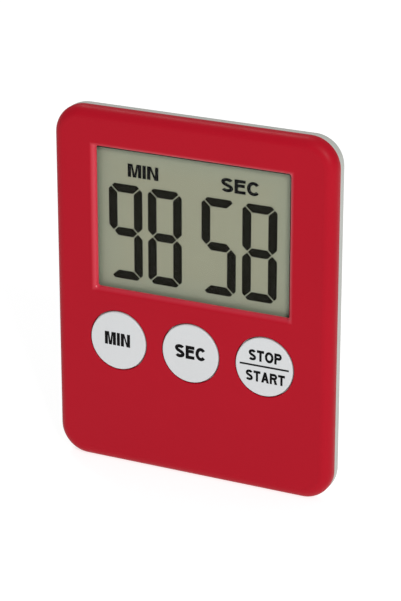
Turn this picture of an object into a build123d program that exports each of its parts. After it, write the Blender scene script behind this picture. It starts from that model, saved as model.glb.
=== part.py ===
from build123d import *
import os
from math import asin, cos, degrees, radians, sin

# Slim digital kitchen timer: a red front shell and a pale back shell around a seven-segment
# display, three round push buttons, a button cell, a buzzer, two magnets and a fold-out foot.
#
# Frame: X to the right as seen from the front, Y from the front to the back, Z up. Millimetres.
# The origin is the middle of the flat bottom edge, on the seam between the two shells.
# The foot is modelled folded out, as the timer stands on a table.

# ---------------------------------------------------------------- driving dimensions
case_width = 70.0
case_height = 86.5
case_depth = 9.0
corner_radius = 7.1
front_depth = 3.3          # front face to seam
front_edge_radius = 2.5
back_rim = 1.0             # straight part of the back shell's side
wall = 1.4                 # face and back walls
side_wall = 1.5            # front shell's side wall
gap = 0.15                 # around anything dropped into a recess
weld = 0.2                 # how far a rib or boss runs into the wall it stands on
overcut = 1.0              # how far a cut runs past the surface it opens
near = 0.01                # tolerance for picking edges that lie on a plane

window_width = 48.5
window_height = 34.0
window_z = 60.6
window_lip_radius = 1.25

button_radius = 7.1
button_gap = 0.25          # round each button, in its hole
button_z = 31.15
button_pitch = 18.6
button_travel = 0.8
button_proud = 0.15

cell_radius = 5.8
cell_height = 5.4
cell_x = -22.2
cell_z = 13.4

buzzer_x = 22.7
buzzer_z = 14.5

magnet_radius = 6.0
magnet_height = 1.5
magnet_x = 17.0
magnet_z = 66.0

foot_width = 26.0
foot_length = 26.0         # pivot to tip
foot_thickness = 1.8
foot_pivot_z = 7.2

# ---------------------------------------------------------------- levels along Y
mid_z = case_height / 2
face_y = -front_depth
back_y = case_depth - front_depth
face_inner_y = face_y + wall
back_inner_y = back_y - wall
back_edge_radius = back_y - back_rim

tape_y = face_inner_y + 0.1           # rear of each layer of the display stack
lens_y = tape_y + 0.8
polarizer_front_y = lens_y + 0.25     # air gap behind the clear window
polarizer_y = polarizer_front_y + 0.2
glass_thickness = 0.75
front_glass_y = polarizer_y + glass_thickness
rear_glass_y = front_glass_y + glass_thickness
reflector_y = rear_glass_y + 0.2
board_front_y = reflector_y + 0.4
board_y = board_front_y + 1.0         # rear of the circuit board

# ---------------------------------------------------------------- shared places
case_screw_places = [(x, z) for x in (-29.4, 29.4) for z in (30.5, 78.0)]
board_screw_places = [(-9.3, 36.9), (9.3, 36.9), (-12.0, 82.4), (12.0, 82.4)]
button_places = {"min": -button_pitch, "sec": 0.0, "start_stop": button_pitch}

board_half_width = 26.4
board_bottom_z = 26.3
board_top_z = 84.0
glass_half_width = 26.0
glass_bottom_z = 40.7
glass_top_z = 79.6
ledge_top_z = 42.5                    # the contact ledge of the front glass ends here
frame_wall = 0.8

recess_depth = 2.2                    # the foot's recess in the back
recess_floor_y = back_y - recess_depth
foot_clearance = 0.25                 # under the folded foot
foot_side_gap = 0.3
foot_pivot_y = recess_floor_y + foot_clearance + foot_thickness / 2
foot_pin_radius = 0.7
foot_tip_radius = foot_thickness / 2
foot_open_angle = 90 + degrees(
    asin((foot_pivot_z - foot_tip_radius) / (foot_length - foot_tip_radius))
)

door_width = 14.2
door_bottom_z = 6.4
door_top_z = 27.0
door_thickness = 1.1
door_y = back_y - door_thickness      # inner face of the battery door
door_screw_z = 23.6
door_corner = 2.0
cell_gap = 0.2                        # around the button cell
contact_thickness = 0.2
bay_radius = cell_radius + cell_gap
bay_wall = 0.9
bay_floor_y = door_y - gap - cell_height - contact_thickness


def plane_at(y, x=0.0, z=0.0):
    """Sketch plane at depth y: sketch x is X, sketch y is Z, and extrude(+) goes forwards."""
    return Plane(origin=(x, y, z), x_dir=(1, 0, 0), z_dir=(0, -1, 0))


def slab(y_front, y_back, width, height, x=0.0, z=0.0, radius=0.0):
    """A flat plate between two depths, with rounded corners where a radius is given."""
    with BuildPart() as plate:
        with BuildSketch(plane_at(y_back, x, z)):
            if radius > 0:
                RectangleRounded(width, height, radius)
            else:
                Rectangle(width, height)
        extrude(amount=y_back - y_front)
    return plate.part


def disc(y_front, y_back, radius, x=0.0, z=0.0):
    """A round plate or peg along Y between two depths."""
    with BuildPart() as plate:
        with BuildSketch(plane_at(y_back, x, z)):
            Circle(radius)
        extrude(amount=y_back - y_front)
    return plate.part


def span(y_front, y_back, x_low, x_high, z_low, z_high, radius=0.0):
    """A plate given by its limits on all three axes."""
    return slab(
        y_front, y_back, x_high - x_low, z_high - z_low,
        (x_low + x_high) / 2, (z_low + z_high) / 2, radius,
    )


def tray(y_seam, y_end, inset, edge_radius):
    """The case outline, inset, from the seam to its rounded far face."""
    with BuildPart() as body:
        with BuildSketch(plane_at(max(y_seam, y_end), z=mid_z)):
            RectangleRounded(
                case_width - 2 * inset, case_height - 2 * inset, corner_radius - inset
            )
        extrude(amount=abs(y_end - y_seam))
        far_face = body.faces().sort_by(Axis.Y)[-1 if y_end > y_seam else 0]
        fillet(far_face.edges(), edge_radius)
    return body.part


def write(shape, name):
    """Labels a finished piece and writes it as one node."""
    shape.label = name
    export_step(shape, f"parts/{name}.step")


def pan_screw(x, z, seat_y, head_radius, head_height, shank_radius, tip_y):
    """A small cross-head screw driven forwards, its head seated at seat_y."""
    slot_length = head_radius * 1.1
    slot_width = head_radius * 0.3
    slot_depth = head_height * 0.6
    crown_radius = head_height * 0.45
    with BuildPart() as screw:
        with BuildSketch(plane_at(seat_y + head_height, x, z)):
            Circle(head_radius)
        extrude(amount=head_height)
        fillet(screw.faces().sort_by(Axis.Y)[-1].edges(), crown_radius)
        with BuildSketch(plane_at(seat_y, x, z)):
            Circle(shank_radius)
        extrude(amount=seat_y - tip_y)
        chamfer(screw.faces().sort_by(Axis.Y)[0].edges(), shank_radius / 2)
        with BuildSketch(plane_at(seat_y + head_height, x, z)):
            Rectangle(slot_length, slot_width)
            Rectangle(slot_width, slot_length)
        extrude(amount=slot_depth, mode=Mode.SUBTRACT)
    return screw.part


os.makedirs("parts", exist_ok=True)

# ================================================================ case
boss_radius = 1.9
pilot_radius = 0.95
case_shank_radius = 0.9
tongue_height = 0.9
tongue_wall = 0.8
flange_radius = 7.9
button_hole_radius = button_radius + button_gap
key_width = 2.0                       # the tab that stops a button from turning
key_reach = 0.8
guide_wall = 0.8
guide_gap = 0.2
guide_end_y = 0.2
button_hole_lip = 0.2
window_corner = 0.6
board_boss_radius = 1.6
board_pilot_radius = 0.75
pilot_end_y = -1.4                    # blind end of every screw hole in the front shell
case_boss_y = 1.5

with BuildPart() as front_shell:
    add(tray(0, face_y, 0, front_edge_radius))
    add(tray(0, face_inner_y, side_wall, front_edge_radius - wall), mode=Mode.SUBTRACT)
    # alignment tongue that slips inside the back shell
    with BuildSketch(plane_at(tongue_height, z=mid_z)):
        for inset, mode in ((side_wall, Mode.ADD), (side_wall + tongue_wall, Mode.SUBTRACT)):
            RectangleRounded(
                case_width - 2 * inset, case_height - 2 * inset, corner_radius - inset, mode=mode
            )
    extrude(amount=tongue_height - face_inner_y)
    # display window, softened towards the front
    add(
        slab(face_y - overcut, 0, window_width, window_height, z=window_z, radius=window_corner),
        mode=Mode.SUBTRACT,
    )
    window_edges = (
        front_shell.edges()
        .filter_by_position(Axis.Y, face_y - near, face_y + near)
        .filter_by_position(
            Axis.Z, window_z - window_height / 2 - near, window_z + window_height / 2 + near
        )
        .filter_by_position(Axis.X, -window_width / 2 - near, window_width / 2 + near)
    )
    fillet(window_edges, window_lip_radius)
    # button holes, the ribs beside each button's key, and the bosses
    for hole_x in button_places.values():
        add(disc(face_y - overcut, 0, button_hole_radius, hole_x, button_z), mode=Mode.SUBTRACT)
        rim = (
            front_shell.edges()
            .filter_by(GeomType.CIRCLE)
            .filter_by_position(Axis.Y, face_y - near, face_y + near)
            .filter_by_position(Axis.X, hole_x - button_pitch / 2, hole_x + button_pitch / 2)
        )
        fillet(rim, button_hole_lip)
        for side in (-1, 1):
            rib_x = hole_x + side * (key_width / 2 + guide_gap + guide_wall / 2)
            add(
                span(
                    face_inner_y - weld, guide_end_y, rib_x - guide_wall / 2, rib_x + guide_wall / 2,
                    button_z - flange_radius - key_reach - guide_gap, button_z - flange_radius - 0.05,
                )
            )
    for boss_x, boss_z in case_screw_places:
        add(disc(face_inner_y - weld, case_boss_y, boss_radius, boss_x, boss_z))
        add(
            disc(pilot_end_y, case_boss_y + overcut, pilot_radius, boss_x, boss_z),
            mode=Mode.SUBTRACT,
        )
    for boss_x, boss_z in board_screw_places:
        add(disc(face_inner_y - weld, board_front_y, board_boss_radius, boss_x, boss_z))
        add(
            disc(pilot_end_y, board_front_y + overcut, board_pilot_radius, boss_x, boss_z),
            mode=Mode.SUBTRACT,
        )
write(front_shell.part, "front_shell")

counterbore_radius = 2.0
back_boss_radius = 2.7
screw_seat_y = 3.4
clearance_radius = 1.1
back_boss_y = 1.6
well_floor = 0.75
well_wall = 1.0
well_side_wall = 1.3
recess_half_width = foot_width / 2 + foot_side_gap
recess_bottom_z = 5.75
recess_top_z = foot_pivot_z + foot_length + 0.4
scoop_y = back_y - 1.4                # finger scoop above the foot's tip
scoop_half_width = 5.0
scoop_height = 3.0
scoop_overlap = 4.0                   # how far the scoop runs down beside the tip
scoop_corner = 2.5
scoop_wall = 0.8
scoop_top_z = recess_top_z + scoop_height
pad_y = door_y - 1.0                  # inner face of the pad that seats the battery door
pad_margin = 1.0
magnet_pocket_radius = magnet_radius + 0.05
magnet_seat_wall = 0.8
bay_floor_wall = 0.5
door_boss_y = 0.9
door_boss_radius = 2.0
door_pilot_radius = 0.85
door_pilot_end_y = 1.4
buzzer_ring_radius = 7.0
buzzer_ring_wall = 1.2
buzzer_seat_y = back_inner_y - 0.5
sound_hole_radius = 0.6
sound_hole_ring = 3.0
sound_hole_depth = 2.5
pin_bore_radius = foot_pin_radius + 0.05
pin_reach = 1.0
pin_end_gap = 0.1
negative_slot_x = (-26.8, -24.6)      # slots in the battery bay for its two contacts
negative_slot_height = 7.2
positive_slot_x = (-16.7, -14.9)
positive_slot_z = (11.1, 17.6)

with BuildPart() as back_shell:
    add(tray(0, back_y, 0, back_edge_radius))
    add(tray(0, back_inner_y, wall, back_edge_radius - wall), mode=Mode.SUBTRACT)
    # material inside the back wall: foot well, door pad, magnet seats, buzzer ring, bosses
    add(
        span(
            recess_floor_y - well_floor, back_inner_y + weld,
            -recess_half_width - well_side_wall, recess_half_width + well_side_wall,
            recess_bottom_z - well_wall, recess_top_z + scoop_wall,
        )
    )
    add(
        span(
            scoop_y - scoop_wall, back_inner_y + weld,
            -scoop_half_width - scoop_wall, scoop_half_width + scoop_wall,
            recess_top_z, scoop_top_z + scoop_wall,
        )
    )
    add(
        span(
            pad_y, back_inner_y + weld,
            cell_x - door_width / 2 - pad_margin, cell_x + door_width / 2 + pad_margin,
            door_bottom_z - pad_margin, door_top_z + pad_margin,
        )
    )
    for side in (-1, 1):
        add(
            disc(
                back_y - magnet_height - magnet_seat_wall, back_inner_y + weld,
                magnet_radius + 1, side * magnet_x, magnet_z,
            )
        )
    with BuildSketch(plane_at(back_inner_y + weld, buzzer_x, buzzer_z)):
        Circle(buzzer_ring_radius + buzzer_ring_wall)
        Circle(buzzer_ring_radius, mode=Mode.SUBTRACT)
    extrude(amount=back_inner_y + weld - buzzer_seat_y)
    for boss_x, boss_z in case_screw_places:
        add(disc(back_boss_y, back_inner_y + weld, back_boss_radius, boss_x, boss_z))
    # battery bay: a round well with a floor, and a boss for the door's screw
    add(disc(bay_floor_y - bay_floor_wall, back_inner_y, bay_radius + bay_wall, cell_x, cell_z))
    add(disc(door_boss_y, back_inner_y, door_boss_radius, cell_x, door_screw_z))
    # cuts from the back: foot recess, magnet pockets, door seat, cell well, screw holes
    add(
        span(
            recess_floor_y, back_y + overcut,
            -recess_half_width, recess_half_width, recess_bottom_z, recess_top_z,
        ),
        mode=Mode.SUBTRACT,
    )
    add(
        span(
            scoop_y, back_y + overcut, -scoop_half_width, scoop_half_width,
            recess_top_z - scoop_overlap, scoop_top_z, scoop_corner,
        ),
        mode=Mode.SUBTRACT,
    )
    with BuildSketch(Plane.YZ.offset(-recess_half_width - pin_reach - pin_end_gap)):
        with Locations((foot_pivot_y, foot_pivot_z)):
            Circle(pin_bore_radius)
    extrude(amount=2 * (recess_half_width + pin_reach + pin_end_gap), mode=Mode.SUBTRACT)
    for side in (-1, 1):
        add(
            disc(
                back_y - magnet_height, back_y + overcut,
                magnet_pocket_radius, side * magnet_x, magnet_z,
            ),
            mode=Mode.SUBTRACT,
        )
    add(
        span(
            door_y, back_y + overcut, cell_x - door_width / 2 - gap, cell_x + door_width / 2 + gap,
            door_bottom_z - gap, door_top_z + gap, door_corner + gap,
        ),
        mode=Mode.SUBTRACT,
    )
    add(disc(bay_floor_y, back_y, bay_radius, cell_x, cell_z), mode=Mode.SUBTRACT)
    add(
        disc(door_pilot_end_y, back_y, door_pilot_radius, cell_x, door_screw_z),
        mode=Mode.SUBTRACT,
    )
    for boss_x, boss_z in case_screw_places:
        add(
            disc(screw_seat_y, back_y + overcut, counterbore_radius, boss_x, boss_z),
            mode=Mode.SUBTRACT,
        )
        add(disc(0, back_y + overcut, clearance_radius, boss_x, boss_z), mode=Mode.SUBTRACT)
    with BuildSketch(plane_at(back_y + overcut, buzzer_x, buzzer_z)):
        Circle(sound_hole_radius)
        with PolarLocations(sound_hole_ring, 6):
            Circle(sound_hole_radius)
    extrude(amount=sound_hole_depth + overcut, mode=Mode.SUBTRACT)
    add(
        span(
            bay_floor_y - 0.05, bay_floor_y + 0.5, *negative_slot_x,
            cell_z, cell_z + negative_slot_height,
        ),
        mode=Mode.SUBTRACT,
    )
    add(span(-0.8, 1.8, *positive_slot_x, *positive_slot_z), mode=Mode.SUBTRACT)
write(back_shell.part, "back_shell")

screw_tip_y = -1.2                    # every screw into the front shell ends here
with BuildPart() as case_screws:
    for screw_x, screw_z in case_screw_places:
        add(
            pan_screw(
                screw_x, screw_z, screw_seat_y, head_radius=1.75, head_height=1.0,
                shank_radius=case_shank_radius, tip_y=screw_tip_y,
            )
        )
write(case_screws.part, "case_screws")

# ================================================================ display
lens_width = window_width + 2.6
lens_height = window_height + 2.2
tape_show = 0.35           # the black tape shows this far inside the window, at its top and right
tape_hide = 0.1            # and lies this far outside it at its bottom and left
film_half_width = 25.8
foam_half_width = 24.0
with BuildPart() as window_tape:
    add(slab(face_inner_y, tape_y, lens_width, lens_height, z=window_z, radius=1.0))
    add(
        span(
            face_inner_y, tape_y, -window_width / 2 - tape_hide, window_width / 2 - tape_show,
            window_z - window_height / 2 - tape_hide, window_z + window_height / 2 - tape_show,
            window_corner,
        ),
        mode=Mode.SUBTRACT,
    )
write(window_tape.part, "window_tape")

display_window = slab(tape_y, lens_y, lens_width, lens_height, z=window_z, radius=1.0)
write(display_window, "display_window")

lcd_polarizer = span(polarizer_front_y, polarizer_y, -25.6, 25.6, 42.0, 79.3)
write(lcd_polarizer, "lcd_polarizer")

lcd_front_glass = span(
    polarizer_y, front_glass_y, -glass_half_width, glass_half_width, glass_bottom_z, glass_top_z
)
write(lcd_front_glass, "lcd_front_glass")

lcd_rear_glass = span(
    front_glass_y, rear_glass_y, -glass_half_width, glass_half_width, ledge_top_z, glass_top_z
)
write(lcd_rear_glass, "lcd_rear_glass")

lcd_reflector = span(
    rear_glass_y, reflector_y, -film_half_width, film_half_width, ledge_top_z, 79.4
)
write(lcd_reflector, "lcd_reflector")

lcd_foam_pad = span(reflector_y, board_front_y, -foam_half_width, foam_half_width, 46.0, 76.0)
write(lcd_foam_pad, "lcd_foam_pad")

zebra_strip = span(front_glass_y, board_front_y, -foam_half_width, foam_half_width, 40.9, 42.3)
write(zebra_strip, "zebra_strip")

with BuildPart() as lcd_frame:
    inner = 0.15
    outer = inner + frame_wall
    add(
        span(
            tape_y, board_front_y, -glass_half_width - outer, glass_half_width + outer,
            glass_bottom_z - outer, glass_top_z + outer, 0.6,
        )
    )
    add(
        span(
            tape_y, board_front_y, -glass_half_width - inner, glass_half_width + inner,
            glass_bottom_z - inner, glass_top_z + inner,
        ),
        mode=Mode.SUBTRACT,
    )
write(lcd_frame.part, "lcd_frame")

# ================================================================ circuit board
board_corner = 1.5
board_hole_radius = 0.9
with BuildPart() as circuit_board:
    add(
        span(
            board_front_y, board_y, -board_half_width, board_half_width,
            board_bottom_z, board_top_z, board_corner,
        )
    )
    for hole_x, hole_z in board_screw_places:
        add(
            disc(board_front_y, board_y, board_hole_radius, hole_x, hole_z), mode=Mode.SUBTRACT
        )
write(circuit_board.part, "circuit_board")

with BuildPart() as board_screws:
    for screw_x, screw_z in board_screw_places:
        add(
            pan_screw(
                screw_x, screw_z, board_y, head_radius=1.5, head_height=0.6,
                shank_radius=0.7, tip_y=screw_tip_y,
            )
        )
write(board_screws.part, "board_screws")

blob_radius = 5.0
blob_height = 1.1
blob_z = 60.0
with BuildPart() as chip_blob:
    with BuildSketch(Plane.XY) as blob_profile:
        with BuildLine():
            crown = ThreePointArc(
                (0, blob_height), (blob_radius * 0.6, blob_height * 0.75), (blob_radius, 0)
            )
            Polyline(crown @ 1, (0, 0), crown @ 0)
        make_face()
    revolve(axis=Axis.Y)
write(chip_blob.part.moved(Location((0, board_y, blob_z))), "chip_blob")

crystal_radius = 0.75
crystal_z = 50.5
with BuildPart() as crystal_can:
    with BuildSketch(Plane.YZ.offset(-9.0)):
        with Locations((board_y + crystal_radius, crystal_z)):
            Circle(crystal_radius)
    extrude(amount=5.0)
write(crystal_can.part, "crystal_can")

capacitor_places = [(-12.0, 55.0), (-12.0, 58.5), (8.0, 50.5), (10.5, 45.0)]
capacitor_size = (2.0, 0.9, 1.25)     # X, Y, Z
with BuildPart() as capacitors:
    for part_x, part_z in capacitor_places:
        add(
            slab(
                board_y, board_y + capacitor_size[1], capacitor_size[0], capacitor_size[2],
                part_x, part_z,
            )
        )
write(capacitors.part, "capacitors")

resistor_size = (1.6, 0.45, 0.8)
resistor_x = -4.0
resistor_low_z = 40.5
resistor_pitch = 1.8
with BuildPart() as resistors:
    for row in range(5):
        add(
            slab(
                board_y, board_y + resistor_size[1], resistor_size[0], resistor_size[2],
                resistor_x, resistor_low_z + resistor_pitch * row,
            )
        )
write(resistors.part, "resistors")

buzzer_transistor = span(board_y, board_y + 1.0, 15.0, 17.9, 40.0, 41.3)
write(buzzer_transistor, "buzzer_transistor")

# boost coil: a drum with a winding groove round its open end
coil_x = 18.5
coil_z = 45.0
coil_radius = 1.6
coil_core_radius = 1.2
coil_height = 1.5
with BuildPart() as buzzer_coil:
    add(disc(board_y, board_y + coil_height, coil_radius, coil_x, coil_z))
    with BuildSketch(plane_at(board_y + coil_height - 0.3, coil_x, coil_z)):
        Circle(coil_radius + near)
        Circle(coil_core_radius, mode=Mode.SUBTRACT)
    extrude(amount=coil_height - 0.6, mode=Mode.SUBTRACT)
write(buzzer_coil.part, "buzzer_coil")

# ================================================================ keys
cap_front_y = face_y - button_proud
cap_edge_radius = 0.3
flange_front_y = face_inner_y + 0.05
flange_y = flange_front_y + 0.6
cap_hollow_radius = 6.0
cap_hollow_depth = 1.0
stem_radius = 2.2
stem_y = -0.65                        # where the stem meets the rubber dome
web_y = board_front_y - 0.4
web_corner = 1.0
pill_radius = 1.8
pill_thickness = 0.3
pill_y = board_front_y - button_travel - 0.02
pill_front_y = pill_y - pill_thickness
dome_radius = 4.4
dome_neck_radius = 3.4
dome_top_radius = 2.4
dome_skirt_y = web_y - 0.3

for name, key_x in button_places.items():
    with BuildPart() as button:
        add(disc(cap_front_y, flange_front_y, button_radius, key_x, button_z))
        fillet(button.faces().sort_by(Axis.Y)[0].edges(), cap_edge_radius)
        add(disc(flange_front_y, flange_y, flange_radius, key_x, button_z))
        add(
            span(
                flange_front_y, flange_y, key_x - key_width / 2, key_x + key_width / 2,
                button_z - flange_radius - key_reach, button_z - flange_radius + 0.5,
            )
        )
        with BuildSketch(plane_at(flange_y, key_x, button_z)):
            Circle(cap_hollow_radius)
            Circle(stem_radius + 0.6, mode=Mode.SUBTRACT)
        extrude(amount=cap_hollow_depth, mode=Mode.SUBTRACT)
        add(disc(flange_y, stem_y, stem_radius, key_x, button_z))
    write(button.part, f"button_{name}")

    # rubber dome: a hollow cone of one wall, open towards the board
    with BuildPart() as dome:
        with BuildSketch(Plane.XY):
            with BuildLine():
                Polyline(
                    (0, stem_y),
                    (dome_top_radius, stem_y),
                    (dome_neck_radius, dome_skirt_y),
                    (dome_radius, dome_skirt_y),
                    (dome_radius, board_front_y),
                    (dome_neck_radius, board_front_y),
                    (dome_neck_radius, web_y + 0.1),
                    (dome_top_radius - 0.1, pill_front_y),
                    (0, pill_front_y),
                    (0, stem_y),
                )
            make_face()
        revolve(axis=Axis.Y)
    write(dome.part.moved(Location((key_x, 0, button_z))), f"rubber_dome_{name}")

    contact_pill = disc(pill_front_y, pill_y, pill_radius, key_x, button_z)
    write(contact_pill, f"contact_pill_{name}")

with BuildPart() as keypad_web:
    add(span(web_y, board_front_y, -24.8, 24.8, 26.5, 39.3, web_corner))
    for key_x in button_places.values():
        add(disc(web_y, board_front_y, dome_radius, key_x, button_z), mode=Mode.SUBTRACT)
    for boss_x, boss_z in board_screw_places[:2]:
        add(
            disc(web_y, board_front_y, board_boss_radius + 0.2, boss_x, boss_z),
            mode=Mode.SUBTRACT,
        )
    # notch that clears the end of the positive battery contact
    add(span(web_y, board_front_y, -11.0, -8.0, 26.0, 29.6), mode=Mode.SUBTRACT)
write(keypad_web.part, "keypad_web")

# ================================================================ power
cell_front_y = bay_floor_y + contact_thickness
cell_y = cell_front_y + cell_height
cap_step = 0.25                       # the negative cap stands this far out of the can
shoulder_y = cell_front_y + 0.6
with BuildPart() as button_cell:
    add(disc(shoulder_y, cell_y, cell_radius, cell_x, cell_z))
    fillet(button_cell.faces().sort_by(Axis.Y)[-1].edges(), 0.4)
    add(disc(cell_front_y + cap_step, shoulder_y, cell_radius - 0.5, cell_x, cell_z))
write(button_cell.part, "button_cell_can")

cell_cap = disc(cell_front_y, cell_front_y + cap_step, cell_radius - 1.0, cell_x, cell_z)
write(cell_cap, "button_cell_cap")

strip_y = board_front_y - contact_thickness
tab_x = (-26.6, -24.8)
tab_z = 25.4                          # where the negative contact steps back to the board
tab_length = 3.6
with BuildPart() as contact_negative:
    add(disc(bay_floor_y, cell_front_y, 4.2, cell_x, cell_z))
    add(span(bay_floor_y, cell_front_y, *tab_x, cell_z, tab_z))
    add(span(bay_floor_y, board_front_y, *tab_x, tab_z - contact_thickness, tab_z))
    add(span(strip_y, board_front_y, *tab_x, tab_z - contact_thickness, tab_z + tab_length))
write(contact_negative.part, "battery_contact_negative")

leaf_x = cell_x + cell_radius
leaf_z = (11.4, 15.4)
strip_width = 1.4
strip_z = (23.6, 25.2)
strip_end_x = (-10.4, -8.6)
strip_end_z = 29.0
with BuildPart() as contact_positive:
    add(span(-0.6, board_front_y, leaf_x, leaf_x + contact_thickness, *leaf_z))
    add(span(strip_y, board_front_y, leaf_x, leaf_x + strip_width, leaf_z[0], strip_z[1]))
    add(span(strip_y, board_front_y, leaf_x, strip_end_x[1], *strip_z))
    add(span(strip_y, board_front_y, *strip_end_x, strip_z[0], strip_end_z))
write(contact_positive.part, "battery_contact_positive")

door_recess_radius = 1.8
door_recess_depth = 0.8
door_hole_radius = 0.9
groove_pitch = 1.2
groove_width = 0.6
groove_depth = 0.3
groove_half_length = 4.0
with BuildPart() as battery_door:
    add(
        span(
            door_y, back_y, cell_x - door_width / 2, cell_x + door_width / 2,
            door_bottom_z, door_top_z, door_corner,
        )
    )
    chamfer(battery_door.faces().sort_by(Axis.Y)[-1].edges(), 0.2)
    # pad that presses on the cell
    add(disc(door_y - 0.1, door_y, 3.0, cell_x, cell_z))
    add(
        disc(door_y - overcut, back_y + overcut, door_hole_radius, cell_x, door_screw_z),
        mode=Mode.SUBTRACT,
    )
    add(
        disc(
            back_y - door_recess_depth, back_y + overcut, door_recess_radius, cell_x, door_screw_z
        ),
        mode=Mode.SUBTRACT,
    )
    # three grip grooves at the free end
    for step in range(3):
        groove_z = door_bottom_z + 2.2 + groove_pitch * step
        add(
            span(
                back_y - groove_depth, back_y + overcut,
                cell_x - groove_half_length, cell_x + groove_half_length,
                groove_z - groove_width / 2, groove_z + groove_width / 2,
            ),
            mode=Mode.SUBTRACT,
        )
write(battery_door.part, "battery_door")

battery_door_screw = pan_screw(
    cell_x, door_screw_z, back_y - door_recess_depth, head_radius=1.6, head_height=0.7,
    shank_radius=0.78, tip_y=1.6,
)
write(battery_door_screw, "battery_door_screw")

# ================================================================ buzzer
brass_thickness = 0.2
brass_radius = 7.5
ceramic_radius = 5.0
ceramic_thickness = 0.2
brass_y = buzzer_seat_y - brass_thickness
ceramic_y = brass_y - ceramic_thickness
buzzer_disc = disc(brass_y, buzzer_seat_y, brass_radius, buzzer_x, buzzer_z)
write(buzzer_disc, "buzzer_disc")

buzzer_ceramic = disc(ceramic_y, brass_y, ceramic_radius, buzzer_x, buzzer_z)
write(buzzer_ceramic, "buzzer_ceramic")

lead_radius = 0.3
lead_y = board_y + lead_radius
largest_bend = 4.0
lead_routes = {
    "red": [(20.6, 16.0), (17.9, 19.5), (17.2, 23.6), (18.9, 26.9), (18.8, 30.2)],
    "black": [(25.2, 20.2), (26.0, 22.4), (24.9, 25.0), (22.4, 27.0), (22.2, 30.2)],
}
for colour, route in lead_routes.items():
    points = [(x, lead_y, z) for x, z in route]
    runs = [Vector(b) - Vector(a) for a, b in zip(points, points[1:])]
    radii = [
        min(0.45 * min(one.length, two.length) / radians(one.get_angle(two)), largest_bend)
        for one, two in zip(runs, runs[1:])
    ]
    print(f"buzzer_lead_{colour} bend radii", [round(radius, 2) for radius in radii])
    with BuildPart() as lead:
        with BuildLine() as path:
            FilletPolyline(*points, radius=radii)
        with BuildSketch(Plane(origin=path.line @ 0, z_dir=path.line % 0)):
            Circle(lead_radius)
        sweep()
    write(lead.part, f"buzzer_lead_{colour}")

# ================================================================ magnets and foot
for side, name in ((-1, "left"), (1, "right")):
    magnet = disc(back_y - magnet_height, back_y, magnet_radius, side * magnet_x, magnet_z)
    write(magnet, f"magnet_{name}")

lean = radians(foot_open_angle)
along_foot = Vector(0, sin(lean), cos(lean))
panel_margin = 6.0                    # the shallow panel on the foot's outer face
panel_length = foot_length - 11.0
panel_middle = foot_length * 0.44
panel_depth = 0.5
foot_side = Plane(
    origin=(-foot_width / 2, foot_pivot_y, foot_pivot_z), x_dir=along_foot, z_dir=(1, 0, 0)
)
foot_leaf = Plane(
    origin=(0, foot_pivot_y, foot_pivot_z), x_dir=(1, 0, 0), z_dir=(0, -cos(lean), sin(lean))
)
with BuildPart() as foot:
    # side profile of the leaf: its first end round the pivot, its tip rounded to rest on a table
    with BuildSketch(foot_side):
        with Locations((foot_length / 2 - foot_tip_radius, 0)):
            SlotOverall(foot_length, foot_thickness)
    extrude(amount=foot_width)
    # shallow panel on the outer face
    with BuildSketch(foot_leaf.offset(-foot_thickness / 2)):
        with Locations((0, panel_middle)):
            RectangleRounded(foot_width - panel_margin, panel_length, 1.5)
    extrude(amount=panel_depth, mode=Mode.SUBTRACT)
    # trunnions that snap into the side walls of the recess
    with BuildSketch(Plane.YZ.offset(-recess_half_width - pin_reach)):
        with Locations((foot_pivot_y, foot_pivot_z)):
            Circle(foot_pin_radius)
    extrude(amount=2 * (recess_half_width + pin_reach))
write(foot.part, "fold_out_foot")
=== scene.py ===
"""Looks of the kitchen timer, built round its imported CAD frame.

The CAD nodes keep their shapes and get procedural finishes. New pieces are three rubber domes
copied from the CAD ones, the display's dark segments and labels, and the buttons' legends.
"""

import math

import bmesh
import bpy
from mathutils import Matrix, Vector


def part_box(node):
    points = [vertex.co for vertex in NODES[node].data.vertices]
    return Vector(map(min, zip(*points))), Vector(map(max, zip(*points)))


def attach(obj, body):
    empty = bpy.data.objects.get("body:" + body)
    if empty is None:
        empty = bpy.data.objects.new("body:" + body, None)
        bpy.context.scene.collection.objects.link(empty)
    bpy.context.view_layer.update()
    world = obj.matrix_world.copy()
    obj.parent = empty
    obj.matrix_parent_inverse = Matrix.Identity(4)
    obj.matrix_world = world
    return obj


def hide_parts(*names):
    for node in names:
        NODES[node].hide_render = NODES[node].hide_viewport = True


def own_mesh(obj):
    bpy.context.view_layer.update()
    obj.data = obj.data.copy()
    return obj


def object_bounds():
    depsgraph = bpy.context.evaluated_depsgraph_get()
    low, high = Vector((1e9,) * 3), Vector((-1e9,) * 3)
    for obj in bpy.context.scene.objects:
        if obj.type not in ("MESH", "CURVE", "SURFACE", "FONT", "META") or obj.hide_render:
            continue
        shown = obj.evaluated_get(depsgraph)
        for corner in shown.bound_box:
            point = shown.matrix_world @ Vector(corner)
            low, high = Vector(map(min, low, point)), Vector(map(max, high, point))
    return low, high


MM = 0.001
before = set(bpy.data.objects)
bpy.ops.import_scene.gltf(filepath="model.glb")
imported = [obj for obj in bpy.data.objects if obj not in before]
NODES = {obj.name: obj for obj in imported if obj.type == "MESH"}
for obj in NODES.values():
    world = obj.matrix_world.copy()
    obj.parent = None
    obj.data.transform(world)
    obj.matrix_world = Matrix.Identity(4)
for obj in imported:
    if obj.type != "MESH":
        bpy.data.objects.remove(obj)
cad_low, cad_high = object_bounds()

# ---------------------------------------------------------------- colour and node helpers
WHITE = (1, 1, 1, 1)
NOISE_ROUGHNESS = 0.55
NOISE_MIDDLE = (0.3, 0.7)      # most values of a noise lie between these
WORN_EDGE = 0.2 * MM           # how far wear reaches in from a sharp edge
EDGE_TO_FLAT = (0.86, 0.99)    # how well two normals agree at a worn edge, and off it
WEAR_PER_METRE = 900.0         # how fine the patches of wear are
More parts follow.
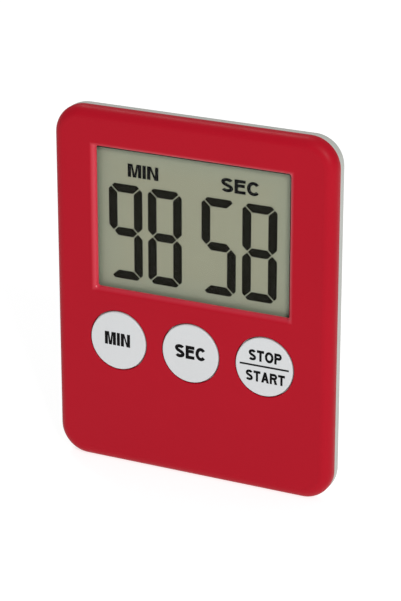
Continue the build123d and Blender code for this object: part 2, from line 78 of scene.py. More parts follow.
# A colour mix's sockets, by number because the other kinds of mix share their names.
MIX_FACTOR, MIX_A, MIX_B, MIX_RESULT = 0, 6, 7, 2


def linear(r, g, b):
    """An sRGB colour given as 0 to 255, as the linear colour the shaders use."""
    def one(c):
        c = c / 255.0
        return c / 12.92 if c <= 0.04045 else ((c + 0.055) / 1.055) ** 2.4
    return (one(r), one(g), one(b), 1.0)


def scaled(colour, k):
    """A linear colour made brighter or darker."""
    return tuple(min(1.0, c * k) for c in colour[:3]) + (1.0,)


class Finish:
    """One node material, with short calls for the noise, bump and wear that most of them share.

    In a keyword that names a socket, an underscore stands for a space.
    """

    def __init__(self, name, colour, roughness, **sockets):
        self.material = bpy.data.materials.new(name)
        self.material.use_nodes = True
        self.nodes = self.material.node_tree.nodes
        self.links = self.material.node_tree.links
        self.bsdf = self.nodes["Principled BSDF"]
        for socket, value in dict(sockets, Base_Color=colour, Roughness=roughness).items():
            self.bsdf.inputs[socket.replace("_", " ")].default_value = value
        self.colour = colour
        self.place = self.node("ShaderNodeTexCoord").outputs["Object"]
        self.normal = None

    def feed(self, socket, value):
        """Links a socket to another one, or sets it to a plain value."""
        if isinstance(value, bpy.types.NodeSocket):
            self.links.new(value, socket)
        else:
            socket.default_value = value

    def node(self, kind, **inputs):
        """A new node with the given inputs."""
        made = self.nodes.new(kind)
        for name, value in inputs.items():
            self.feed(made.inputs[name.replace("_", " ")], value)
        return made

    def noise(self, per_metre, detail=4.0, stretch=(1, 1, 1)):
        """Noise whose features are 1 / per_metre metres across."""
        mapping = self.node("ShaderNodeMapping", Vector=self.place, Scale=stretch)
        return self.node(
            "ShaderNodeTexNoise", Vector=mapping.outputs["Vector"], Scale=per_metre,
            Detail=detail, Roughness=NOISE_ROUGHNESS,
        ).outputs["Fac"]

    def spread(self, value, low, high, to_low=0.0, to_high=1.0):
        """Maps a value from one range to another, clamped."""
        return self.node(
            "ShaderNodeMapRange", Value=value, From_Min=low, From_Max=high,
            To_Min=to_low, To_Max=to_high,
        ).outputs["Result"]

    def math(self, operation, *values):
        """One sum, such as MULTIPLY or ABSOLUTE, on plain values or sockets."""
        made = self.nodes.new("ShaderNodeMath")
        made.operation = operation
        for socket, value in zip(made.inputs, values):
            self.feed(socket, value)
        return made.outputs[0]

    def mix(self, factor, a, b):
        """A mix of two colours or colour sockets."""
        made = self.nodes.new("ShaderNodeMix")
        made.data_type = "RGBA"
        for number, value in ((MIX_FACTOR, factor), (MIX_A, a), (MIX_B, b)):
            self.feed(made.inputs[number], value)
        return made.outputs[MIX_RESULT]

    def base(self):
        """The base colour so far: a socket, or the plain colour."""
        socket = self.bsdf.inputs["Base Color"]
        return socket.links[0].from_socket if socket.is_linked else self.colour

    def set_base(self, socket):
        self.links.new(socket, self.bsdf.inputs["Base Color"])

    def tint(self, source, k):
        """A colour or a colour socket, made brighter or darker."""
        if isinstance(source, bpy.types.NodeSocket):
            return self.node("ShaderNodeHueSaturation", Color=source, Value=k).outputs["Color"]
        return scaled(source, k)

    def vary(self, per_metre, dark, light, **noise):
        """Changes the base colour slowly between two multiples of it."""
        fac = self.spread(self.noise(per_metre, **noise), *NOISE_MIDDLE)
        source = self.base()
        self.set_base(self.mix(fac, self.tint(source, dark), self.tint(source, light)))

    def rough(self, per_metre, low, high, **noise):
        """Changes the roughness slowly between two values."""
        fac = self.spread(self.noise(per_metre, **noise), *NOISE_MIDDLE, low, high)
        self.links.new(fac, self.bsdf.inputs["Roughness"])

    def bump(self, value, depth_mm, strength=1.0):
        """Bump of the given depth, on top of any bump made before."""
        made = self.node(
            "ShaderNodeBump", Height=value, Strength=strength, Distance=depth_mm * MM
        )
        if self.normal is not None:
            self.links.new(self.normal, made.inputs["Normal"])
        self.normal = made.outputs["Normal"]
        self.links.new(self.normal, self.bsdf.inputs["Normal"])

    def wear(self, colour, amount):
        """Lighter, rubbed sharp edges, broken up by noise.

        An edge is where the normal of a rounded copy of the surface leaves the surface's own.
        """
        rounded = self.node("ShaderNodeBevel", Radius=WORN_EDGE).outputs["Normal"]
        own = self.node("ShaderNodeNewGeometry").outputs["Normal"]
        agreement = self.nodes.new("ShaderNodeVectorMath")
        agreement.operation = "DOT_PRODUCT"
        self.links.new(rounded, agreement.inputs[0])
        self.links.new(own, agreement.inputs[1])
        edges = self.spread(agreement.outputs["Value"], *EDGE_TO_FLAT, 1.0, 0.0)
        patches = self.spread(self.noise(WEAR_PER_METRE, detail=6.0), 0.35, 0.7)
        fac = self.math("MULTIPLY", self.math("MULTIPLY", edges, patches), amount)
        self.set_base(self.mix(fac, self.base(), colour))


def off_centre(finish, low, high):
    """How far a point lies from the middle of a box, along X and along Z, as two sockets."""
    place = finish.node("ShaderNodeSeparateXYZ", Vector=finish.place)
    middle = (low + high) / 2
    off_x = finish.math("ABSOLUTE", finish.math("SUBTRACT", place.outputs["X"], middle.x))
    off_z = finish.math("ABSOLUTE", finish.math("SUBTRACT", place.outputs["Z"], middle.z))
    return off_x, off_z


def moulded(name, colour, roughness, grain_mm, grain_depth_mm, speck=0.02, **sockets):
    """Moulded plastic: faint flow marks, spark-eroded grain, fine specks, uneven gloss."""
    f = Finish(name, colour, roughness, **sockets)
    f.vary(28.0, 0.975, 1.025, detail=3.0)
    f.vary(2400.0, 1.0 - speck, 1.0 + speck, detail=2.0)
    f.rough(140.0, roughness * 0.88, roughness * 1.14, detail=5.0)
    f.bump(f.noise(60.0, detail=2.0), 0.010, 0.5)
    f.bump(f.noise(1 / (grain_mm * MM), detail=3.0), grain_depth_mm)
    return f


def metal(name, colour, roughness, brush=(1, 1, 1)):
    """Plated or rolled metal with a drawn grain, stretched along an axis whose brush is small."""
    f = Finish(name, colour, roughness, Metallic=1.0)
    f.vary(500.0, 0.90, 1.05, stretch=brush, detail=6.0)
    f.rough(900.0, roughness * 0.75, roughness * 1.35, stretch=brush, detail=6.0)
    f.bump(f.noise(3000.0, stretch=brush, detail=5.0), 0.004, 0.8)
    return f


def give(finish, *names):
    """Puts one finish on CAD nodes."""
    for name in names:
        mesh = NODES[name].data
        mesh.materials.clear()
        mesh.materials.append(finish.material)


# ---------------------------------------------------------------- outer finishes
RED = (0.386, 0.0042, 0.0150, 1)
# a paler red painted on the window's lip as a painted highlight
LIP_PAINTED_HIGHLIGHT = (0.580, 0.0300, 0.0550, 1)
PALE = linear(178, 180, 174)
CAP = linear(203, 205, 206)
LCD_GROUND = linear(146, 146, 125)
LCD_BORDER = linear(141, 147, 129)
ACRYLIC = (0.985, 0.99, 0.985, 1)
# The window's own edge is hidden behind its lip, so these distances out from it are negative.
# Each of the lip's two finishes, its gloss and its painted highlight, is full at the first one and
# gone at the second.
LIP_GLOSS_BAND = (-0.9 * MM, -0.2 * MM)
LIP_PAINTED_HIGHLIGHT_BAND = (-1.25 * MM, -0.1 * MM)
LIP_GLOSS = 0.7


def gloss_window_lip_and_paint_highlight(finish):
    """Makes the rounded lip round the display window glossy over its grain, and paints a paler red
    on it as a painted highlight.
    """
    low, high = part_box("display_window")
    off_x, off_z = off_centre(finish, low, high)
    beside = finish.math("SUBTRACT", off_x, (high.x - low.x) / 2)
    above = finish.math("SUBTRACT", off_z, (high.z - low.z) / 2)
    outside = finish.math("MAXIMUM", beside, above)
    gloss = finish.spread(outside, *LIP_GLOSS_BAND, LIP_GLOSS, 0.0)
    finish.links.new(gloss, finish.bsdf.inputs["Coat Weight"])
    # painted highlight: the lip's colour is blended towards a paler red
    painted_highlight = finish.spread(outside, *LIP_PAINTED_HIGHLIGHT_BAND, 1.0, 0.0)
    finish.set_base(finish.mix(painted_highlight, finish.base(), LIP_PAINTED_HIGHLIGHT))


red = moulded(
    "red_moulding", RED, 0.42, grain_mm=0.16, grain_depth_mm=0.004,
    Specular_IOR_Level=0.09, Coat_Roughness=0.25,
)
red.wear(scaled(RED, 1.5), 0.25)
# glosses the window's lip and paints a highlight on it
gloss_window_lip_and_paint_highlight(red)
give(red, "front_shell")

pale = moulded("pale_moulding", PALE, 0.5, grain_mm=0.14, grain_depth_mm=0.006)
pale.wear(linear(225, 228, 224), 0.35)
give(pale, "back_shell", "fold_out_foot", "battery_door")

cap = moulded("button_moulding", CAP, 0.46, grain_mm=0.12, grain_depth_mm=0.003, speck=0.012)
give(cap, "button_min", "button_sec", "button_start_stop")


def clear_window():
    """Thin clear acrylic: see-through, with a faint reflection that grows at grazing angles."""
    f = Finish("clear_acrylic", ACRYLIC, 0.0)
    smear = f.spread(f.noise(160.0, detail=6.0, stretch=(1, 1, 0.4)), 0.35, 0.75, 0.03, 0.10)
    clear = f.node("ShaderNodeBsdfTransparent", Color=ACRYLIC)
    gloss = f.node("ShaderNodeBsdfGlossy", Color=WHITE, Roughness=smear)
    facing = f.node("ShaderNodeLayerWeight", Blend=0.5).outputs["Facing"]
    grazing = f.math("MULTIPLY", f.math("POWER", facing, 5.0), 0.9)
    both = f.node("ShaderNodeMixShader", Fac=f.math("ADD", grazing, 0.003))
    f.links.new(clear.outputs["BSDF"], both.inputs[1])
    f.links.new(gloss.outputs["BSDF"], both.inputs[2])
    f.links.new(both.outputs["Shader"], f.nodes["Material Output"].inputs["Surface"])
    f.nodes.remove(f.bsdf)
    return f


give(clear_window(), "display_window")


# ---------------------------------------------------------------- inner finishes
def display_ground():
    """The polarizer film over the reflector: grey-green, a little greener towards its borders."""
    f = Finish("display_ground", LCD_GROUND, 0.36, Specular_IOR_Level=0.3)
    low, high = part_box("lcd_polarizer")
    off_x, off_z = off_centre(f, low, high)
    towards_side = f.spread(off_x, 17.0 * MM, 24.5 * MM)
    towards_end = f.spread(off_z, 11.0 * MM, 17.0 * MM)
    border = f.math("MULTIPLY", f.math("MAXIMUM", towards_side, towards_end), 0.8)
    f.set_base(f.mix(border, LCD_GROUND, LCD_BORDER))
    f.vary(40.0, 0.985, 1.015, detail=3.0)
    f.vary(5000.0, 0.98, 1.02, detail=2.0)
    f.rough(300.0, 0.30, 0.42)
    f.bump(f.noise(4000.0, detail=2.0), 0.002, 0.6)
    return f


give(display_ground(), "lcd_polarizer")

glass = Finish("display_glass", linear(150, 156, 140), 0.12)
glass.vary(60.0, 0.97, 1.02)
glass.bump(glass.noise(200.0), 0.003, 0.4)
give(glass, "lcd_front_glass", "lcd_rear_glass")

film = metal("reflector_film", linear(168, 170, 158), 0.35, brush=(0.1, 1, 1))
give(film, "lcd_reflector")

foam = Finish("black_foam_and_painted_shadow", linear(30, 30, 30), 0.95)
foam.vary(3000.0, 0.7, 1.5, detail=3.0)
foam.bump(foam.noise(2500.0, detail=3.0), 0.05)
# The window tape's black edge, which shows along the window's top and right, stands in for the
# shadow there: painted shadow.
give(foam, "window_tape", "lcd_foam_pad")

black = moulded(
    "black_moulding", linear(24, 24, 25), 0.45, grain_mm=0.15, grain_depth_mm=0.006, speck=0.15
)
give(black, "lcd_frame")

zebra = Finish("layered_rubber", linear(38, 38, 38), 0.7)
layers = zebra.node("ShaderNodeTexWave", Vector=zebra.place, Scale=700.0)
zebra.set_base(zebra.mix(layers.outputs["Fac"], linear(22, 22, 22), linear(120, 118, 112)))
zebra.bump(zebra.noise(1500.0), 0.01)
give(zebra, "zebra_strip")


def board_finish():
    """Green lacquer over copper tracks that run two ways, in patches of one or the other."""
    f = Finish("board_lacquer", linear(24, 92, 48), 0.32, Coat_Weight=0.3, Coat_Roughness=0.15)
    tracks = []
    for turn, shift in ((0.0, 0.0), (math.pi / 2, 13 * MM)):
        mapping = f.node(
            "ShaderNodeMapping", Vector=f.place, Rotation=(0, turn, 0), Location=(shift, 0, 0)
        )
        wave = f.node(
            "ShaderNodeTexWave", Vector=mapping.outputs["Vector"], Scale=95.0,
            Distortion=1.6, Detail_Scale=0.6,
        )
        tracks.append(f.spread(wave.outputs["Fac"], 0.55, 0.62))
    patches = f.node("ShaderNodeTexVoronoi", Vector=f.place, Scale=60.0)
    way = f.spread(patches.outputs["Distance"], 0.45, 0.47)
    track = f.mix(way, *tracks)
    f.set_base(f.mix(track, linear(20, 78, 42), linear(46, 128, 66)))
    f.vary(700.0, 0.93, 1.06)
    f.bump(track, 0.03, 0.8)
    f.bump(f.noise(900.0), 0.004)
    return f


give(board_finish(), "circuit_board")

resin = Finish("black_resin", linear(20, 20, 21), 0.28, Coat_Weight=0.4, Coat_Roughness=0.2)
resin.vary(900.0, 0.8, 1.4)
resin.bump(resin.noise(260.0, detail=3.0), 0.05, 0.6)
give(resin, "chip_blob", "resistors", "buzzer_transistor")

tan = Finish("fired_ceramic", linear(172, 140, 104), 0.5)
tan.vary(1500.0, 0.9, 1.1)
tan.bump(tan.noise(2500.0), 0.01)
give(tan, "capacitors")

ferrite = Finish("varnished_ferrite", linear(58, 44, 36), 0.4, Metallic=0.3)
turns = ferrite.node("ShaderNodeTexWave", Vector=ferrite.place, Scale=1200.0)
turns.bands_direction = "Y"
ferrite.set_base(ferrite.mix(turns.outputs["Fac"], linear(60, 38, 28), linear(140, 84, 52)))
ferrite.bump(turns.outputs["Fac"], 0.04)
give(ferrite, "buzzer_coil")

silicone = Finish(
    "pale_silicone", linear(205, 206, 202), 0.5,
    Subsurface_Weight=0.15, Subsurface_Radius=(2 * MM, 2 * MM, 2 * MM),
)
silicone.vary(300.0, 0.96, 1.03)
silicone.bump(silicone.noise(1800.0), 0.008)
give(silicone, "rubber_dome_min", "rubber_dome_sec", "rubber_dome_start_stop", "keypad_web")

carbon = Finish("carbon_pad", linear(20, 20, 20), 0.85)
carbon.vary(2500.0, 0.7, 1.6)
carbon.bump(carbon.noise(3000.0), 0.02)
give(carbon, "contact_pill_min", "contact_pill_sec", "contact_pill_start_stop")

steel = metal("cell_steel", linear(198, 199, 200), 0.24, brush=(1, 1, 0.08))
give(steel, "button_cell_can", "button_cell_cap")
strip = metal("plated_strip", linear(196, 190, 176), 0.3, brush=(0.1, 1, 1))
give(strip, "battery_contact_negative", "battery_contact_positive")
zinc = metal("zinc_plated_screw", linear(176, 178, 182), 0.34)
zinc.wear(linear(225, 226, 228), 0.5)
give(zinc, "case_screws", "board_screws", "battery_door_screw")
tin = metal("bright_tin", linear(205, 205, 206), 0.16)
give(tin, "crystal_can")
brass = metal("rolled_brass", linear(196, 160, 84), 0.26, brush=(0.1, 1, 1))
give(brass, "buzzer_disc")

silvered = Finish("silvered_ceramic", linear(214, 212, 204), 0.42, Metallic=0.4)
silvered.vary(700.0, 0.92, 1.05)
silvered.bump(silvered.noise(2500.0), 0.006)
give(silvered, "buzzer_ceramic")

for name, colour in (("red", linear(150, 22, 18)), ("black", linear(22, 22, 24))):
    sleeve = Finish(f"{name}_sleeve", colour, 0.38)
    sleeve.vary(900.0, 0.9, 1.12)
    sleeve.bump(sleeve.noise(1500.0), 0.01)
    give(sleeve, f"buzzer_lead_{name}")

magnet = Finish("sintered_magnet", linear(46, 46, 49), 0.55, Metallic=0.35)
magnet.vary(1800.0, 0.75, 1.3, detail=6.0)
magnet.bump(magnet.noise(2200.0, detail=6.0), 0.02)
magnet.wear(linear(120, 120, 124), 0.6)
give(magnet, "magnet_left", "magnet_right")

segment_ink = Finish("segment_ink", linear(14, 13, 5), 0.5, Specular_IOR_Level=0.05)
segment_ink.vary(500.0, 0.94, 1.08)
segment_ink.bump(segment_ink.noise(3000.0), 0.001)
print_ink = Finish("printed_ink", linear(9, 9, 10), 0.55, Specular_IOR_Level=0.06)
print_ink.vary(1500.0, 0.85, 1.25)
print_ink.rough(900.0, 0.42, 0.6)
print_ink.bump(print_ink.noise(5000.0), 0.003)


def squashing_dome(key):
    """A dome that stands for the CAD one: a copy of its mesh, hung on the case."""
    name = "rubber_dome_" + key
    dome = bpy.data.objects.new("squashing_dome_" + key, NODES[name].data.copy())
    bpy.context.scene.collection.objects.link(dome)
    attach(dome, "case")
    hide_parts(name)
    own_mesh(dome)


for key in ("min", "sec", "start_stop"):
    squashing_dome(key)

# ---------------------------------------------------------------- thin printed shapes
# From here to the floor, sizes and places are in millimetres, in the frame's X and Z.
INK_LIFT = 0.05                # how far in front of the polarizer the display's ink lies
SEGMENT_DEPTH = 0.02
PRINT_DEPTH = 0.012            # of the labels and legends
LEGEND_LIFT = 0.005            # from a button's face out to the middle of its print


def plate(name, outlines, y_mm, thickness_mm, finish):
    """Flat shapes that face forwards, with their front at y_mm, as one mesh object."""
    mesh = bpy.data.meshes.new(name)
    bm = bmesh.new()
    for outline in outlines:
        front = [bm.verts.new((x * MM, y_mm * MM, z * MM)) for x, z in outline]
        back = [bm.verts.new((x * MM, (y_mm + thickness_mm) * MM, z * MM)) for x, z in outline]
        bm.faces.new(front)
        bm.faces.new(reversed(back))
        count = len(outline)
        for i in range(count):
            j = (i + 1) % count
            bm.faces.new((front[j], front[i], back[i], back[j]))
    bmesh.ops.recalc_face_normals(bm, faces=bm.faces)
    bm.to_mesh(mesh)
    bm.free()
    mesh.materials.append(finish.material)
    made = bpy.data.objects.new(name, mesh)
    bpy.context.scene.collection.objects.link(made)
    return made


# ---------------------------------------------------------------- display segments
DIGIT_WIDTH = 8.85
DIGIT_HEIGHT = 23.3
DIGIT_BASE_Z = 45.62
BAR = 2.3                      # height of a level bar
POST = 2.45                    # width of an upright bar
CORNER = 1.5                   # cut at the digit's outer corners
NOTCH = 1.3                    # cut where two upright bars meet at the waist
TIP_SHIFT = 0.1                # from the middle of a post to the tip of the waist bar
SLIT = 0.27                    # gap between neighbouring bars
SEGMENTS_OF = {"9": "abcdfg", "8": "abcdefg", "5": "acdfg"}
# each digit shown, with the X of its centre
DIGITS = (("9", -17.6), ("8", -7.6), ("5", 5.95), ("8", 16.1))


def mirrored_x(points):
    """An outline mirrored left to right inside the digit, still anticlockwise."""
    return [(DIGIT_WIDTH - x, z) for x, z in reversed(points)]


def mirrored_z(points):
    """An outline mirrored top to bottom inside the digit, still anticlockwise."""
    return [(x, DIGIT_HEIGHT - z) for x, z in reversed(points)]


def segment_shapes():
    """The outline of each of the seven bars, before the slits are cut."""
    w, h = DIGIT_WIDTH, DIGIT_HEIGHT
    waist = h / 2
    mitre = (CORNER / 2, h - CORNER / 2)
    inner = (POST, h - BAR)
    tip = (POST / 2 + TIP_SHIFT, waist)
    top = [
        mitre, inner, (w - inner[0], inner[1]), (w - mitre[0], mitre[1]),
        (w - CORNER, h), (CORNER, h),
    ]
    upper_left = [
        (0, h - CORNER), (0, waist + NOTCH), tip, (POST, waist + BAR / 2), inner, mitre,
    ]
    middle = [
        tip, (POST, waist - BAR / 2), (w - POST, waist - BAR / 2),
        (w - tip[0], waist), (w - POST, waist + BAR / 2), (POST, waist + BAR / 2),
    ]
    return {
        "a": top, "f": upper_left, "g": middle, "b": mirrored_x(upper_left),
        "d": mirrored_z(top), "e": mirrored_z(upper_left), "c": mirrored_x(mirrored_z(upper_left)),
    }


def inset(points, distance):
    """A convex outline, anticlockwise, moved inwards by a distance."""
    lines = []
    for (ax, az), (bx, bz) in zip(points, points[1:] + points[:1]):
        length = math.hypot(bx - ax, bz - az)
        nx, nz = -(bz - az) / length, (bx - ax) / length
        lines.append((nx, nz, nx * ax + nz * az + distance))
    corners = []
    for (a1, b1, c1), (a2, b2, c2) in zip(lines[-1:] + lines[:-1], lines):
        det = a1 * b2 - a2 * b1
        corners.append(((c1 * b2 - c2 * b1) / det, (a1 * c2 - a2 * c1) / det))
    return corners


ink_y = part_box("lcd_polarizer")[0].y / MM - INK_LIFT
shapes = segment_shapes()
for place, (digit, centre_x) in enumerate(DIGITS):
    outlines = []
    for segment in SEGMENTS_OF[digit]:
        outline = inset(shapes[segment], SLIT / 2)
        outlines.append([(x + centre_x - DIGIT_WIDTH / 2, z + DIGIT_BASE_Z) for x, z in outline])
    piece = plate(f"display_digit_{place + 1}", outlines, ink_y, SEGMENT_DEPTH, segment_ink)
    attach(piece, "case")


# ---------------------------------------------------------------- capitals
# Plain sans-serif capitals. Each function takes a stroke weight and gives a letter's width and its
# outlines, on a cap height of 1, built from straight bars and ribbons that follow a centre line.
def ribbon(path, weight):
    """The outline of a stroke of even weight along an open path."""
    left, right = [], []
    for i, (x, z) in enumerate(path):
        ax, az = path[max(i - 1, 0)]
        bx, bz = path[min(i + 1, len(path) - 1)]
        length = math.hypot(bx - ax, bz - az)
        nx, nz = -(bz - az) / length, (bx - ax) / length
        left.append((x + nx * weight / 2, z + nz * weight / 2))
        right.append((x - nx * weight / 2, z - nz * weight / 2))
    return left + right[::-1]


def arc(centre, radii, start, end, steps):
    """Points along part of an ellipse, angles in degrees."""
    angles = [math.radians(start + (end - start) * i / steps) for i in range(steps + 1)]
    return [
        (centre[0] + radii[0] * math.cos(a), centre[1] + radii[1] * math.sin(a)) for a in angles
    ]


def bar(left, bottom, right, top):
    return [(left, bottom), (right, bottom), (right, top), (left, top)]


def bowl(width, low, t):
    """The round part of P and R, from the stem and back to it, with its underside at low."""
    radius = (1 - low) / 2
    reach = radius - t / 2
    middle = (width - radius + t * 0.1, (1 + low) / 2)
    turn = arc(middle, (reach, reach), 90, -90, 14)
    return ribbon([(t, 1 - t / 2)] + turn + [(t, low + t / 2)], t)


def letter_a(t):
    w, sill, foot = 0.84, 0.22, 1.12 * t
    lintel = sill + 0.9 * t
    inner_top = 1 - 1.9 * t
    lean = (w / 2 - foot) / inner_top
    at_sill, at_lintel = foot + lean * sill, foot + lean * lintel
    legs = [
        (0, 0), (w / 2 - t / 2, 1), (w / 2 + t / 2, 1), (w, 0),
        (w - foot, 0), (w / 2, inner_top), (foot, 0),
    ]
    crossbar = [(at_sill, sill), (w - at_sill, sill), (w - at_lintel, lintel), (at_lintel, lintel)]
    return w, [legs, crossbar]


def letter_c(t):
    w, opening = 0.84, 38
    centre, radii = (w / 2, 0.5), (w / 2 - t / 2, 0.5 - t / 2)
    return w, [ribbon(arc(centre, radii, opening, 360 - opening, 30), t)]


def letter_e(t):
    w, arm = 0.70, 0.46
    arm_end = 0.93 * w
    return w, [[
        (0, 0), (0, 1), (w, 1), (w, 1 - t), (t, 1 - t), (t, arm + t), (arm_end, arm + t),
        (arm_end, arm), (t, arm), (t, t), (w, t), (w, 0),
    ]]


def letter_i(t):
    return t, [bar(0, 0, t, 1)]


def letter_m(t):
    w, shoulder, valley, crotch = 0.96, 1.4 * t, 0.27, 0.78
    return w, [[
        (0, 0), (0, 1), (shoulder, 1), (w / 2, valley), (w - shoulder, 1), (w, 1), (w, 0),
        (w - t, 0), (w - t, crotch), (w / 2 + t / 2, 0), (w / 2 - t / 2, 0), (t, crotch), (t, 0),
    ]]


def letter_n(t):
    w, shoulder, crotch = 0.80, 1.15 * t, 0.70
    return w, [[
        (0, 0), (0, 1), (shoulder, 1), (w - t, 1 - crotch), (w - t, 1), (w, 1), (w, 0),
        (w - shoulder, 0), (t, crotch), (t, 0),
    ]]


def letter_o(t):
    w = 0.88
    centre, radii = (w / 2, 0.5), (w / 2 - t / 2, 0.5 - t / 2)
    return w, [
        ribbon(arc(centre, radii, 0, 180, 20), t), ribbon(arc(centre, radii, 180, 360, 20), t),
    ]


def letter_p(t):
    w, low = 0.74, 0.40
    return w, [bar(0, 0, t, 1), bowl(w, low, t)]


def letter_r(t):
    w, low = 0.80, 0.42
    leg = [(w / 2, low), (w / 2 + 1.15 * t, low), (w, 0), (w - 1.2 * t, 0)]
    return w, [bar(0, 0, t, 1), bowl(w * 0.95, low, t), leg]


def letter_s(t):
    w, knee, waist = 0.76, 0.73, 0.5
    reach, rise, drop = w / 2 - t / 2, 1 - t / 2 - knee, knee - waist
    upper = arc((w / 2, knee), (reach, rise), 20, 180, 16)
    lower = arc((w / 2, 1 - knee), (reach, rise), 0, -160, 16)
    belly = [
        (w / 2 - reach * math.cos(a), waist + drop * (1 - math.sin(a) * 0.86))
        for a in [math.radians(10 + 6 * i) for i in range(11)]
    ]
    turned = [(w - x, 2 * waist - z) for x, z in reversed(belly)]
    return w, [ribbon(upper + belly + turned + lower, t)]


def letter_t(t):
    w = 0.74
    left, right = w / 2 - t / 2, w / 2 + t / 2
    return w, [[
        (left, 0), (left, 1 - t), (0, 1 - t), (0, 1),
        (w, 1), (w, 1 - t), (right, 1 - t), (right, 0),
    ]]


CAPITALS = {
    "A": letter_a, "C": letter_c, "E": letter_e, "I": letter_i, "M": letter_m, "N": letter_n,
    "O": letter_o, "P": letter_p, "R": letter_r, "S": letter_s, "T": letter_t,
}

# ---------------------------------------------------------------- labels and legends
LETTER_GAP = 0.08              # between letters, in the letters' own unit
# name, text, centre X, base Z, cap height, width, stroke weight in cap heights
DISPLAY_LABELS = (
    ("display_label_min", "MIN", -13.05, 70.75, 3.15, 7.8, 0.24),
    ("display_label_sec", "SEC", 11.35, 70.65, 3.3, 9.6, 0.225),
)
# the same, after the body that the legend rides on
LEGENDS = (
    ("key_min", "legend_min", "MIN", -18.75, 29.9, 3.2, 6.6, 0.265),
    ("key_sec", "legend_sec", "SEC", 0.15, 29.85, 3.25, 7.95, 0.25),
    ("key_start_stop", "legend_stop", "STOP", 18.9, 32.4, 2.7, 8.15, 0.24),
    ("key_start_stop", "legend_start", "START", 19.0, 27.4, 2.6, 9.75, 0.235),
)
RULE = {"left": 12.6, "bottom": 31.1, "right": 24.8, "top": 31.54}


def lettering(y_mm, body, name, text, centre_x, base_z, cap_height, width, weight):
    """One line of capitals, fitted to a cap height and a width, as one thin print."""
    outlines, along = [], 0.0
    for letter in text:
        letter_width, letter_outlines = CAPITALS[letter](weight)
        outlines += [[(x + along, z) for x, z in outline] for outline in letter_outlines]
        along += letter_width + LETTER_GAP
    fit = width / (along - LETTER_GAP)
    placed = [
        [(centre_x - width / 2 + x * fit, base_z + z * cap_height) for x, z in outline]
        for outline in outlines
    ]
    piece = plate(name, placed, y_mm - PRINT_DEPTH / 2, PRINT_DEPTH, print_ink)
    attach(piece, body)


for label in DISPLAY_LABELS:
    lettering(ink_y, "case", *label)

key_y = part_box("button_min")[0].y / MM - LEGEND_LIFT
for legend in LEGENDS:
    lettering(key_y, *legend)
rule = plate("legend_rule", [bar(**RULE)], key_y - PRINT_DEPTH / 2, PRINT_DEPTH, print_ink)
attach(rule, "key_start_stop")

# ---------------------------------------------------------------- floor and room
FLOOR_REACH = 4.0              # metres from the timer to each side
FLOOR_GREY = (0.42, 0.42, 0.42, 1)
FLOOR_GLOW = 0.75              # keeps the floor near white, like the photo's backdrop
ROOM_LIGHT = 0.36
ROOM_SEEN = 0.92               # past the floor's far edge the room is as pale as the floor

floor_mesh = bpy.data.meshes.new("floor")
edges = ((-1, -1), (1, -1), (1, 1), (-1, 1))
corners = [(x * FLOOR_REACH, y * FLOOR_REACH, 0) for x, y in edges]
floor_mesh.from_pydata(corners, [], [(0, 1, 2, 3)])
floor = bpy.data.objects.new("floor", floor_mesh)
bpy.context.scene.collection.objects.link(floor)
paint = Finish(
    "floor_paint", FLOOR_GREY, 0.8,
    Specular_IOR_Level=0.1, Emission_Color=WHITE, Emission_Strength=FLOOR_GLOW,
)
paint.vary(6.0, 0.995, 1.005)
floor_mesh.materials.append(paint.material)


def studio_world():
    """White light from all round, dimmer than the room that the camera sees."""
    world = bpy.data.worlds.new("studio")
    bpy.context.scene.world = world
    world.use_nodes = True
    nodes, links = world.node_tree.nodes, world.node_tree.links
    light, backdrop = nodes["Background"], nodes.new("ShaderNodeBackground")
    for background, strength in ((light, ROOM_LIGHT), (backdrop, ROOM_SEEN)):
        background.inputs["Color"].default_value = WHITE
        background.inputs["Strength"].default_value = strength
    seen = nodes.new("ShaderNodeLightPath").outputs["Is Camera Ray"]
    either = nodes.new("ShaderNodeMixShader")
    links.new(seen, either.inputs["Fac"])
    links.new(light.outputs["Background"], either.inputs[1])
    links.new(backdrop.outputs["Background"], either.inputs[2])
    links.new(either.outputs["Shader"], nodes["World Output"].inputs["Surface"])


studio_world()

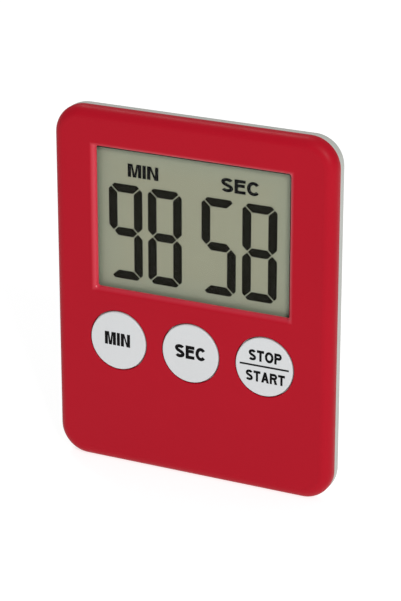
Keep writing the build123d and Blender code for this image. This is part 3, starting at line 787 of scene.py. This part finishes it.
# ---------------------------------------------------------------- lamps
LAMP_TARGET = Vector((0, 0, 45 * MM))


def softbox(name, place, size, power):
    """A square area light in metres and watts, turned to face the timer."""
    data = bpy.data.lights.new(name, "AREA")
    data.shape = "SQUARE"
    data.size = size
    data.energy = power
    lamp = bpy.data.objects.new(name, data)
    bpy.context.scene.collection.objects.link(lamp)
    lamp.location = place
    direction = LAMP_TARGET - Vector(place)
    lamp.rotation_euler = direction.to_track_quat("-Z", "Y").to_euler()


softbox("key_light", place=(0.6, -0.66, 0.6), size=0.22, power=6.6)
softbox("top_light", place=(-0.38, 0.36, 0.85), size=0.3, power=2.2)

# ---------------------------------------------------------------- camera
CAMERA_AZIMUTH = math.radians(25.76)
CAMERA_ELEVATION = math.radians(21.08)
CAMERA_DISTANCE = 560.6 * MM
CAMERA_ASIDE = 2.36 * MM
CAMERA_RAISE = 0.925 * MM
CAMERA_LENS = 147.4            # millimetres, on a sensor 36 mm wide


def photo_camera():
    """The camera at the photo's angle, moved a little aside and up from the middle of the face."""
    face_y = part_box("front_shell")[0].y
    aim = Vector((0, face_y, (cad_low[2] + cad_high[2]) / 2))
    back = Vector((
        math.sin(CAMERA_AZIMUTH) * math.cos(CAMERA_ELEVATION),
        -math.cos(CAMERA_AZIMUTH) * math.cos(CAMERA_ELEVATION),
        math.sin(CAMERA_ELEVATION),
    ))
    right = Vector((math.cos(CAMERA_AZIMUTH), math.sin(CAMERA_AZIMUTH), 0))
    up = back.cross(right)
    lens = bpy.data.cameras.new("camera")
    lens.lens = CAMERA_LENS
    lens.sensor_width = 36.0
    lens.clip_start = 0.01
    lens.clip_end = 20.0
    camera = bpy.data.objects.new("camera", lens)
    bpy.context.scene.collection.objects.link(camera)
    turn = Matrix((right, up, back)).transposed().to_4x4()
    camera.matrix_world = Matrix.Translation(
        aim + back * CAMERA_DISTANCE + right * CAMERA_ASIDE + up * CAMERA_RAISE
    ) @ turn
    bpy.context.scene.camera = camera


photo_camera()
bpy.context.scene.view_settings.view_transform = "Standard"
